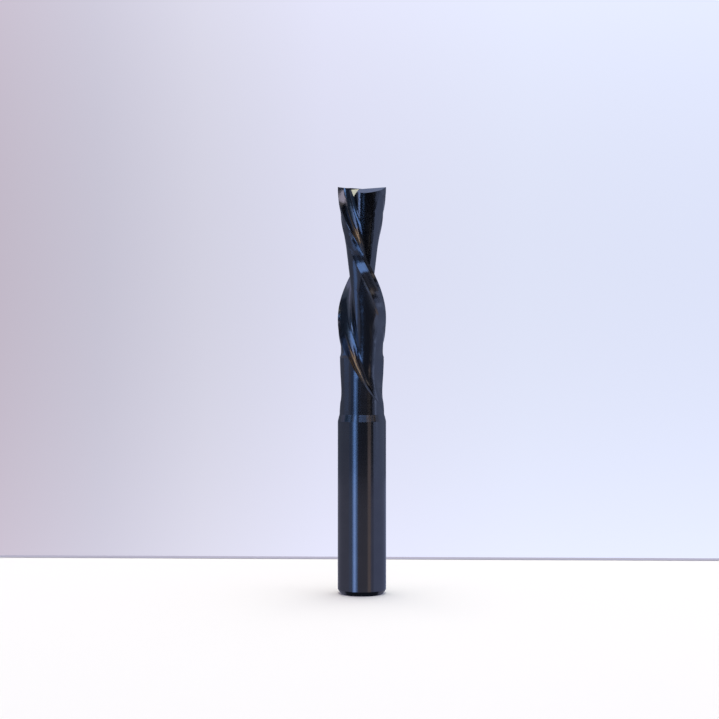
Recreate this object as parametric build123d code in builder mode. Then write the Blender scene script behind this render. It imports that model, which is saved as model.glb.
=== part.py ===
from build123d import *
from math import cos, hypot, pi, radians, sin, sqrt, tan
import os

# Solid carbide down-cut spiral router bit, two flutes, one ground piece.
# Stands on its shank end: Z up, base centre at the origin, tips on +X and -X.

# lengths along the axis, mm
OVERALL = 100.8
SHANK_LENGTH = 42.7          # plain cylinder that the collet grips
SHOULDER_TOP = 44.4          # short cone between shank and neck ends here
NECK_WAIST = 52.8            # narrowest height of the relieved neck
NECK_TOP = 58.4              # the cutting diameter starts above this
CUT_START = 59.0

# radii, mm
R = 6.0                      # shank and cutting radius, 12 mm tool
NECK_FOOT_R = 5.60
NECK_WAIST_R = 5.36
NECK_TOP_R = 5.50
BASE_BEVEL = (0.72, 1.1)     # radial, axial

# flutes
HELIX = 30.0                 # degrees, left hand: a down-cut tool
LEAD = 2 * pi * R / tan(radians(HELIX))
MARGIN = 1.5                 # degrees of full-diameter land behind each tip
PRIMARY = (0.980 * R, 9.5)   # end of the primary relief: radius, degrees behind the tip
HEEL = (0.880 * R, 33.0)     # end of the secondary relief
HEEL_EASED = (0.836 * R, 38.0)       # its edge is eased off to here
RAKE = 12.0                  # degrees, positive
RAKE_FLAT = 0.267 * R        # straight part of the rake face
GULLET_R = 0.337 * R
CREST_R = 0.55 * R
CREST = (0.195 * R, 0.074 * R)        # centre of the rounded back of the flute
BACK_MID = (0.475 * R, 0.585 * R)

# wash-out: the wheel leaves the flute along its own radius
WHEEL_R = 23.0
WASH_START = 57.2
BACK_END = 59.6              # the ground back fades from here ...
BACK_GONE = 53.3             # ... to here
FLUTE_FOOT = 43.8            # lowest of the sections that the flutes are lofted through
WASH_STEP = 1.4              # their spacing in the wash-out ...
STEP = 2.8                   # ... and above it

# end teeth
DISH = 0.45                  # centre below the corners
END_PRIMARY = (0.5, 10.0)    # width, degrees
END_SECONDARY = 24.0         # degrees
GASH_TILT = 25.0             # degrees


def polar(radius, angle, centre=(0, 0)):
    a = radians(angle)
    return (centre[0] + radius * cos(a), centre[1] + radius * sin(a))


def mix(p, q, t):
    return (p[0] + (q[0] - p[0]) * t, p[1] + (q[1] - p[1]) * t)


def flute_points(z):
    """Corners of one flute's section at height z: x toward the tip whose back
    it grinds, y toward the open side of the flute."""
    fade = 0.0 if z > BACK_END else 1 - (max(z - BACK_GONE, 0) / (BACK_END - BACK_GONE)) ** 2
    run = max(WASH_START - z, 0)
    out = WHEEL_R - sqrt(WHEEL_R ** 2 - run ** 2)

    # rake face, gullet and crest run into each other without corners
    rake_end = (-R + RAKE_FLAT * cos(radians(RAKE)), -RAKE_FLAT * sin(radians(RAKE)))
    gullet = (rake_end[0] + GULLET_R * sin(radians(RAKE)),
              rake_end[1] + GULLET_R * cos(radians(RAKE)))
    gap = hypot(CREST[0] - gullet[0], CREST[1] - gullet[1])
    back_angle = 89.3 + 30.7 * fade
    # the relief facets behind the tip, which are gone below the cutting length
    land, primary = polar(R, MARGIN), polar(*PRIMARY)
    points = dict(
        edge=mix(mix(primary, land, 2.5), (1.15 * R, 0.35 * R), fade),
        primary=mix(primary, (1.08 * R, 0.55 * R), fade),
        heel=mix(polar(*HEEL), (0.62 * R, 0.95 * R), fade),
        eased=mix(polar(*HEEL_EASED), (0.52 * R, 0.92 * R), fade),
        back_mid=mix(BACK_MID, (0.27 * R, 0.755 * R), fade),
        back=polar(CREST_R, back_angle, CREST),
        crest_mid=polar(CREST_R, (back_angle + 167) / 2, CREST),
        meet=mix(gullet, CREST, GULLET_R / gap),
        gullet_mid=polar(GULLET_R, -58, gullet),
        rake_end=rake_end, lip=(-1.293 * R, 0.0623 * R), near=(-1.05 * R, 1.15 * R),
        far=(0.95 * R, 1.15 * R), side=(1.3 * R, 0.07 * R))
    return {k: (x - 0.25 * out, -(y + 0.97 * out)) for k, (x, y) in points.items()}


with BuildPart() as router_bit:
    # turned and ground blank
    with BuildSketch(Plane.XZ):
        with BuildLine():
            Polyline((0, OVERALL + 1), (0, 0), (R - BASE_BEVEL[0], 0), (R, BASE_BEVEL[1]),
                     (R, SHANK_LENGTH), (NECK_FOOT_R, SHOULDER_TOP))
            ThreePointArc((NECK_FOOT_R, SHOULDER_TOP), (NECK_WAIST_R, NECK_WAIST),
                          (NECK_TOP_R, NECK_TOP))
            Polyline((NECK_TOP_R, NECK_TOP), (R, CUT_START), (R, OVERALL + 1),
                     (0, OVERALL + 1))
        make_face()
    revolve(axis=Axis.Z)

    # two flutes, each lofted through its turning sections
    heights = [FLUTE_FOOT + WASH_STEP * i for i in range(13)]
    heights += [heights[-1] + STEP * i for i in range(1, 16)]
    for start in (0, 180):
        for z in heights:
            turn = radians(start + 360 * (OVERALL - z) / LEAD)
            p = flute_points(z)
            with BuildSketch(Plane(origin=(0, 0, z), x_dir=(cos(turn), sin(turn), 0))):
                with BuildLine():
                    Line(p["edge"], p["primary"])
                    Line(p["primary"], p["heel"])
                    Line(p["heel"], p["eased"])
                    ThreePointArc(p["eased"], p["back_mid"], p["back"])
                    ThreePointArc(p["back"], p["crest_mid"], p["meet"])
                    ThreePointArc(p["meet"], p["gullet_mid"], p["rake_end"])
                    Line(p["rake_end"], p["lip"])
                    Line(p["lip"], p["near"])
                    Line(p["near"], p["far"])
                    Line(p["far"], p["side"])
                    Line(p["side"], p["edge"])
                make_face()
        loft(mode=Mode.SUBTRACT)

    # end teeth: each end edge falls to the centre, two relief facets fall away
    # behind it, and a gash opens the flute into the end in front of the other edge
    for start in (0, 180):
        c, s = cos(radians(start)), sin(radians(start))
        width, first = END_PRIMARY
        fall = width * tan(radians(first))
        reach = 1.25 * R
        with BuildSketch(Plane(origin=(reach * c, reach * s, OVERALL + 0.25 * DISH),
                               x_dir=(s, -c, 0), z_dir=(-c, -s, -DISH / R))):
            Polygon((-0.02, 3), (-0.02, 0), (width, -fall),
                    (1.3 * R, -fall - (1.3 * R - width) * tan(radians(END_SECONDARY))),
                    (1.3 * R, 3), align=None)
        extrude(amount=reach + 0.54 * R, mode=Mode.SUBTRACT)
        tilt = radians(GASH_TILT)
        with BuildSketch(Plane(origin=(0, 0, OVERALL), x_dir=(c, s, 0),
                               z_dir=(cos(tilt) * s, -cos(tilt) * c, sin(tilt)))):
            Polygon((-0.72, 2), (-0.72, -0.74), (-1.95, -2.65), (-3.1, -2.65), (-3.1, 2),
                    align=None)
        extrude(amount=R, dir=(s, -c, 0), mode=Mode.SUBTRACT)

router_bit.part.label = "router_bit"
os.makedirs("parts", exist_ok=True)
export_step(router_bit.part, "parts/router_bit.step")
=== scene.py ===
import math

import bpy
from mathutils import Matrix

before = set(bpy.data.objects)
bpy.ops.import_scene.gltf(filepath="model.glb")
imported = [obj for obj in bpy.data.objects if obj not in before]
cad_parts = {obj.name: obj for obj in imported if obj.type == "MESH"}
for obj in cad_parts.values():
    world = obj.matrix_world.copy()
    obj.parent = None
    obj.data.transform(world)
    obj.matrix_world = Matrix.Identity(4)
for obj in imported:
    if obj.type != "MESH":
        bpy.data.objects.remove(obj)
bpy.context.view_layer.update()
bpy.ops.object.select_all(action="DESELECT")


# Router bit. One bar of cemented tungsten carbide, sintered, then ground all over:
# the shank and neck on a cylindrical grinder, the flutes and end teeth with a formed
# diamond wheel. It shows as a dark blue-grey metal with fine wheel marks.
OVERALL = 0.1008
LEAD = 0.0653               # one turn of the left-hand flutes
FLUTE_REACH = 0.00528       # anything nearer the axis than this was cut by the flute wheel
FLUTE_BLEND = 0.00003       # width of the change between the two kinds of marks


def linear(code):
    """Linear RGBA from an sRGB hex code."""
    parts = [int(code[i:i + 2], 16) / 255 for i in (1, 3, 5)]
    return [c / 12.92 if c <= 0.04045 else ((c + 0.055) / 1.055) ** 2.4 for c in parts] + [1.0]


def add(tree, kind, settings=None, **links):
    """Adds a node, sets its properties and sockets, and links its inputs by name."""
    node = tree.nodes.new("ShaderNode" + kind)
    for key, value in (settings or {}).items():
        if isinstance(key, str) and hasattr(node, key):
            setattr(node, key, value)
        else:
            node.inputs[key].default_value = value
    for key, output in links.items():
        name = key.replace("_", " ")
        tree.links.new(output, node.inputs[int(key[1:]) if key[1:].isdigit() else name])
    return node


carbide = bpy.data.materials.new("ground_cemented_carbide")
carbide.use_nodes = True
tree = carbide.node_tree
tree.nodes.clear()

# place on the tool: height, distance from the axis, and the section turned back to its
# place at the tips, in which a point keeps its coordinates all the way along a flute
spot = add(tree, "TexCoord").outputs["Object"]
axes = add(tree, "SeparateXYZ", i0=spot)
flat = add(tree, "CombineXYZ", i0=axes.outputs["X"], i1=axes.outputs["Y"])
from_axis = add(tree, "VectorMath", {"operation": "LENGTH"}, i0=flat.outputs[0]).outputs["Value"]
PITCH = 2 * math.pi / LEAD  # turn of the flutes for each metre along the axis
turn_back = add(tree, "Math", {"operation": "MULTIPLY_ADD", 1: PITCH, 2: -PITCH * OVERALL},
                i0=axes.outputs["Z"])
section = add(tree, "VectorRotate", {"rotation_type": "Z_AXIS"},
              i0=spot, Angle=turn_back.outputs[0]).outputs[0]
in_flute = add(tree, "MapRange", {"From Min": FLUTE_REACH + FLUTE_BLEND, "From Max": FLUTE_REACH},
               i0=from_axis).outputs[0]

# cylindrical grinding: rings around the axis, about 0.01 mm apart on a real tool and
# drawn 0.3 mm apart so that they show
rings = add(tree, "Mapping", {"Scale": (90, 90, 3300)}, i0=spot).outputs[0]
ring_marks = add(tree, "TexNoise", {"Scale": 1.0, "Detail": 4.0, "Roughness": 0.62}, i0=rings)

# flute grinding: wheel marks that run along the helix, as fine on a real tool, and drawn
# 0.35 mm apart
grooves = add(tree, "Mapping", {"Scale": (2900, 2900, 45)}, i0=section).outputs[0]
groove_marks = add(tree, "TexNoise", {"Scale": 1.0, "Detail": 3.0, "Roughness": 0.55}, i0=grooves)

marks = add(tree, "Mix", {"data_type": "FLOAT"}, i0=in_flute,
            i2=ring_marks.outputs[0], i3=groove_marks.outputs[0]).outputs[0]
relief = add(tree, "Bump", {"Strength": 0.2, "Distance": 0.00001}, Height=marks)

# sintered grain and handling: cloudy patches 4 mm across in colour and gloss
clouds = add(tree, "TexNoise", {"Scale": 240.0, "Detail": 3.0, "Roughness": 0.5}, i0=spot)
tone = add(tree, "Mix", {"data_type": "RGBA", 6: linear("#66676e"), 7: linear("#737479")},
           i0=clouds.outputs[0])
wheel = add(tree, "MapRange", {"To Min": 0.15, "To Max": 0.12}, i0=in_flute).outputs[0]
gloss = add(tree, "MapRange", {"From Min": 0.3, "From Max": 0.7, "To Min": 0.0, "To Max": 0.04},
            i0=marks)
gloss = add(tree, "Math", {"operation": "ADD"}, i0=wheel, i1=gloss.outputs[0])

# the gloss is stretched square to the marks: along the tool where they are rings, and
# across the flute where they follow the helix
ahead = add(tree, "VectorMath", {"operation": "MULTIPLY", 1: (PITCH, -PITCH, 0)},
            i0=add(tree, "CombineXYZ", X=axes.outputs["Y"], Y=axes.outputs["X"]).outputs[0])
helix = add(tree, "VectorMath", {"operation": "ADD", 1: (0, 0, 1)}, i0=ahead.outputs[0])
way = add(tree, "Mix", {"data_type": "VECTOR"}, i0=in_flute,
          i4=ahead.outputs[0], i5=helix.outputs[0]).outputs[1]
facing = add(tree, "NewGeometry").outputs["Normal"]
across_marks = add(tree, "VectorMath", {"operation": "CROSS_PRODUCT"}, i0=way, i1=facing)
skin = add(tree, "BsdfPrincipled", {"Metallic": 1.0, "Anisotropic": 0.5},
           Base_Color=tone.outputs[2], Roughness=gloss.outputs[0], Normal=relief.outputs[0],
           Tangent=across_marks.outputs[0])
add(tree, "OutputMaterial", Surface=skin.outputs[0])

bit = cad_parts["router_bit"]
bit.material_slots[0].material = carbide


# Floor. A sheet of satin white board with a grey strip along its back edge, which is painted
# shade where the board meets the wall, and the wall of the studio beyond it. The metal does not
# show it, so the tool stays dark over a white floor, and it has no gloss of its own.
FLOOR_BACK = 0.0695
FLOOR_FRONT = -0.150
FLOOR_HALF = 0.115
FLOOR_TURN = math.radians(-2.0)
SEAM = 0.0050               # depth of the grey strip along the back edge
SEAM_LIFT = 0.0001          # it lies this far above the board

bpy.ops.mesh.primitive_plane_add(size=1, location=(0, (FLOOR_BACK + FLOOR_FRONT) / 2, 0))
floor = bpy.context.object
floor.name = "floor"
floor.scale = (2 * FLOOR_HALF, FLOOR_BACK - FLOOR_FRONT, 1)
bpy.ops.object.transform_apply(location=True, rotation=True, scale=True)
floor.rotation_euler.z = FLOOR_TURN
board = bpy.data.materials.new("satin_white_board")
board.use_nodes = True
paper = board.node_tree.nodes["Principled BSDF"]
paper.inputs["Base Color"].default_value = linear("#f5f4ee")
paper.inputs["Roughness"].default_value = 0.35
paper.inputs["Specular IOR Level"].default_value = 0.0
floor.data.materials.append(board)
floor.visible_glossy = False

# the grey strip is painted shade along the back edge of the board
bpy.ops.mesh.primitive_plane_add(size=1, location=(0, FLOOR_BACK - SEAM / 2, SEAM_LIFT))
seam = bpy.context.object
seam.name = "painted_edge_shade"
seam.scale = (2 * FLOOR_HALF, SEAM, 1)
bpy.ops.object.transform_apply(location=True, rotation=True, scale=True)
seam.rotation_euler.z = FLOOR_TURN
edge = bpy.data.materials.new("painted_grey_edge_shade")
edge.use_nodes = True
strip = edge.node_tree.nodes["Principled BSDF"]
strip.inputs["Base Color"].default_value = linear("#aeabb9")
strip.inputs["Roughness"].default_value = 0.8
seam.data.materials.append(edge)
seam.visible_glossy = False


# Studio. One soft lamp overhead, a pale wall behind, and a tent of glowing cards round the
# tool. This is not plain light: the cards are painted reflections that light nothing and cast no
# shadow, and their places and colours, and the colours of the wall, were fitted to the view of
# the one camera below and suit no other. Each card is named for what its painted reflection
# stands
# for, and only the metal shows it: the camera and floor do not.
TENT = 0.60                 # its radius
TABLE_LEVEL = -0.03         # the low ring of cards reaches down to here
CARD_STEPS = 16             # flats that make up a curved card


def card(name, left, right, low, high, colour, strength=1.0, distance=TENT, slant=0):
    """A curved upright card round the tool's axis, a painted reflection that lights nothing and
    only the metal shows. Azimuths in degrees, 0 at the camera.
    """
    corners = []
    for z, turn in ((low, 0), (high, slant)):
        for i in range(CARD_STEPS + 1):
            a = math.radians(left + turn + (right - left) * i / CARD_STEPS)
            corners.append((distance * math.sin(a), -distance * math.cos(a), z))
    mesh = bpy.data.meshes.new(name)
    row = CARD_STEPS + 1
    mesh.from_pydata(corners, [], [(i, i + 1, i + row + 1, i + row) for i in range(CARD_STEPS)])
    sheet = bpy.data.objects.new(name, mesh)
    bpy.context.collection.objects.link(sheet)
    surface = bpy.data.materials.new(name)
    surface.use_nodes = True
    nodes = surface.node_tree
    nodes.nodes.clear()
    glow = add(nodes, "Emission", {"Color": linear(colour), "Strength": strength})
    add(nodes, "OutputMaterial", Surface=glow.outputs[0])
    mesh.materials.append(surface)
    sheet.visible_camera = False
    sheet.visible_diffuse = False
    sheet.visible_shadow = False


# the tent, in painted reflections: dark felt, with one window on the left and grey walls on the
# right
card("felt_left", -128, -62, -0.4, 0.1, "#6f768a")
card("felt_left_end", -172, -128, -0.4, 0.4, "#656c7e")
card("felt_by_window", -62, -46, -0.022, 0.1, "#617395")
card("window_glow", -46, -21, -0.022, 0.34, "#89b8f9")
card("window", -40, -29, -0.022, 0.34, "#8abaff", 2.6, distance=0.595)
card("felt_front", -21, 56, -0.022, 0.33, "#30353f")
card("timber", 27, 43, 0.022, 0.042, "#a6958b", distance=0.25)
card("grey_wall", 56, 92, -0.4, 0.1, "#8997b8")
card("grey_wall_far", 92, 130, -0.4, 0.33, "#8996b5")
card("grey_wall_end", 130, 172, -0.4, 0.33, "#737c97")
card("felt_gap", 56, 72, 0.1, 0.33, "#272727")
card("grey_gap", 72, 92, 0.1, 0.33, "#7c869e")

# painted reflections above eye level on the left, and a painted highlight that slants over the
# front
card("felt_left_dim", -128, -95, 0.1, 0.4, "#868ba2")
card("felt_left_dark", -95, -47, 0.1, 0.4, "#455d79")
card("window_slant", -33, -12, 0.12, 0.25, "#91b9ff", 1.6, distance=0.59, slant=14)
card("window_top", -16, 38, 0.32, 0.4, "#a2c4ff", 1.95, distance=0.59)
card("window_top_dim", -16, 38, 0.4, 0.46, "#a7c7ff", 1.08, distance=0.59)
card("window_top_edge", -16, 38, 0.46, 0.54, "#7690ad", distance=0.59)

# painted reflections below the floor, for the faces that lean down
card("pit", -62, 38, -0.155, -0.022, "#303542")
card("pit_right", 38, 70, -0.1, -0.022, "#3f4555")
card("grey_low_right", 38, 92, -0.4, -0.1, "#97a4c5", distance=0.59)
card("table_edge", -62, 38, -0.4, -0.155, "#868ea2")

# painted reflections of overhead boards and of the top of the tent
card("warm_board", 22, 78, 0.31, 0.345, "#ffdaae", 2, distance=0.58)
card("tan_board", 58, 76, 0.345, 0.42, "#ffd5aa", 1.5, distance=0.58)
card("felt_high", -45, 60, 0.33, 1.05, "#384559")
card("felt_high_left", -65, -45, 0.4, 1.05, "#7c89a0")
card("lavender_board", -105, -76, 0.4, 0.66, "#c8cbf1", distance=0.59)
card("grey_high_left", -150, -65, 0.33, 1.05, "#959eb1")
card("grey_high_right", 60, 150, 0.33, 1.05, "#89817c")
card("pale_back", 150, 210, 0.4, 0.8, "#adbce5")

# small glowing cards near the tool, painted highlights on the end teeth; they light nothing
card("painted_pink_highlight", 40, 84, 0.158, 0.187, "#fcf2ff", 1.75, distance=0.06)
card("painted_warm_highlight", -18, 8, 0.183, 0.205, "#fffddc", 4.6, distance=0.06)
card("painted_sky_highlight", 10, 27, 0.167, 0.176, "#8bbeff", 3.5, distance=0.06)

# near dark flags and bright strips at the height of the flutes: painted shade and painted
# highlights in the flutes
card("flag_left", -60, -25, 0.061, 0.092, "#0d0d12", distance=0.24)
card("flag_right", -25, 74, 0.0585, 0.1, "#0d0d12", distance=0.24)
card("top_window", -76, -58, 0.089, 0.103, "#a5c6ff", 2.4, distance=0.11)
card("second_window", -34, -12, 0.0695, 0.0808, "#91bdff", 2.2, distance=0.03)
card("blue_board", -106, -73, 0.0545, 0.064, "#95bcfd", distance=0.11)
card("grey_front", -15, 27, 0.0555, 0.072, "#61636f", distance=0.11)
card("brown_board", 32, 44, 0.06, 0.072, "#bcb1a6", distance=0.11)
card("painted_land_highlight", 68, 78, 0.0405, 0.06, "#b3c4ea", distance=0.11)

# painted reflections in a band that the cone above the shank shows
card("band_front", -24, 27, 0.128, 0.165, "#30353f", distance=0.25)
card("band_timber", 27, 43, 0.128, 0.165, "#908179", distance=0.25)
card("band_gap", 43, 66, 0.128, 0.165, "#697389", distance=0.25)

# a low ring of painted reflections round the lower half of the shank
card("low_left", -172, -62, TABLE_LEVEL, 0.02, "#848699", distance=0.11)
card("low_by_window", -62, -47, TABLE_LEVEL, 0.02, "#818ead", distance=0.11)
card("low_glow", -46, -21, TABLE_LEVEL, 0.02, "#99c0ff", 1.1, distance=0.11)
card("low_window", -40, -29, TABLE_LEVEL, 0.02, "#a3c5ff", 2.6, distance=0.1095)
card("low_front", -21, 27, TABLE_LEVEL, 0.02, "#73717c", distance=0.11)
card("low_timber", 27, 42, TABLE_LEVEL, 0.029, "#aa9995", distance=0.11)
card("low_gap", 42, 56, TABLE_LEVEL, 0.02, "#7c819b", distance=0.11)
card("low_right", 56, 172, TABLE_LEVEL, 0.02, "#8e97b8", distance=0.11)

# round sheets that close the tent below and above, each with a card's surface and, like the
# cards, painted reflections. The lowest is a dark pad whose painted shadow shows in the bevel of
# the shank.
# The upper one also shades the floor from the light of the world, which would bleach it.
PAD = 0.032                 # a dark pad under the foot, for the bevel of the shank
for name, radius, height, surface in (("painted_shadow_pad", PAD, TABLE_LEVEL + 0.001, "felt_front"),
                                      ("grey_under", 0.110, TABLE_LEVEL, "low_left"),
                                      ("felt_ceiling", TENT, 1.05, "felt_high")):
    bpy.ops.mesh.primitive_circle_add(radius=radius, fill_type="NGON", location=(0, 0, height))
    disc = bpy.context.object
    disc.name = name
    disc.data.materials.append(bpy.data.materials[surface])
    disc.visible_camera = False

# the wall: it runs from mauve on the left to pale blue on the right, and is brighter
# above and below the level of the camera
world = bpy.data.worlds.new("studio_wall")
bpy.context.scene.world = world
world.use_nodes = True
sky = world.node_tree
sky.nodes.clear()
heading = add(sky, "SeparateXYZ", i0=add(sky, "TexCoord").outputs["Generated"])
side = add(sky, "MapRange", {"From Min": -0.23, "From Max": 0.23}, i0=heading.outputs["X"])
wall = add(sky, "ValToRGB", i0=side.outputs[0])
wall.color_ramp.elements[0].color = linear("#c2b9c8")
wall.color_ramp.elements[1].color = linear("#dee4fa")
for position, colour in ((0.14, "#c7c4d4"), (0.28, "#d3d2e2"), (0.45, "#dbdcf0"),
                         (0.73, "#dee3f7")):
    wall.color_ramp.elements.new(position).color = linear(colour)
off_middle = add(sky, "Math", {"operation": "SUBTRACT", 1: 0.06}, i0=heading.outputs["Z"])
square = add(sky, "Math", {"operation": "POWER", 1: 2.0},
             i0=add(sky, "Math", {"operation": "ABSOLUTE"}, i0=off_middle.outputs[0]).outputs[0])
level = add(sky, "Math", {"operation": "MULTIPLY_ADD", 1: 3.9, 2: 1.0}, i0=square.outputs[0])
level = add(sky, "Math", {"operation": "MINIMUM", 1: 1.2}, i0=level.outputs[0])
glow = add(sky, "Background", Color=wall.outputs[0], Strength=level.outputs[0])
add(sky, "OutputWorld", Surface=glow.outputs[0])


def softbox(name, place, aim, size, colour, power):
    """A square lamp at a place, facing its aim."""
    lamp = bpy.data.lights.new(name, "AREA")
    lamp.shape = "SQUARE"
    lamp.size = size
    lamp.energy = power
    lamp.color = linear(colour)[:3]
    box = bpy.data.objects.new(name, lamp)
    bpy.context.collection.objects.link(box)
    box.location = place
    across, along, up = (a - p for a, p in zip(aim, place))
    box.rotation_euler = (math.atan2(math.hypot(across, along), -up), 0,
                          math.atan2(along, across) - math.pi / 2)
    return box


softbox("overhead", (0.0, 0.10, 0.90), (0, 0, 0.0), 0.45, "#fffcf2", 4.75)


# Camera. It stands 0.38 m away with a level line of sight, at the height of the waist
# between the two turns of the flutes.
DISTANCE = 0.380
EYE_HEIGHT = 0.058
EYE_ASIDE = -0.0006
PIXELS_PER_METRE = 4030     # at the tool's axis, in a picture 719 pixels wide
PICTURE = 719
SENSOR = 36.0

view = bpy.data.cameras.new("camera")
view.sensor_width = SENSOR
view.lens = SENSOR * PIXELS_PER_METRE * DISTANCE / PICTURE
camera = bpy.data.objects.new("camera", view)
bpy.context.collection.objects.link(camera)
camera.location = (EYE_ASIDE, -DISTANCE, EYE_HEIGHT)
camera.rotation_euler = (math.radians(90), 0, 0)
view.clip_start = 0.01
view.clip_end = 20.0
bpy.context.scene.camera = camera
bpy.context.scene.view_settings.view_transform = "Standard"
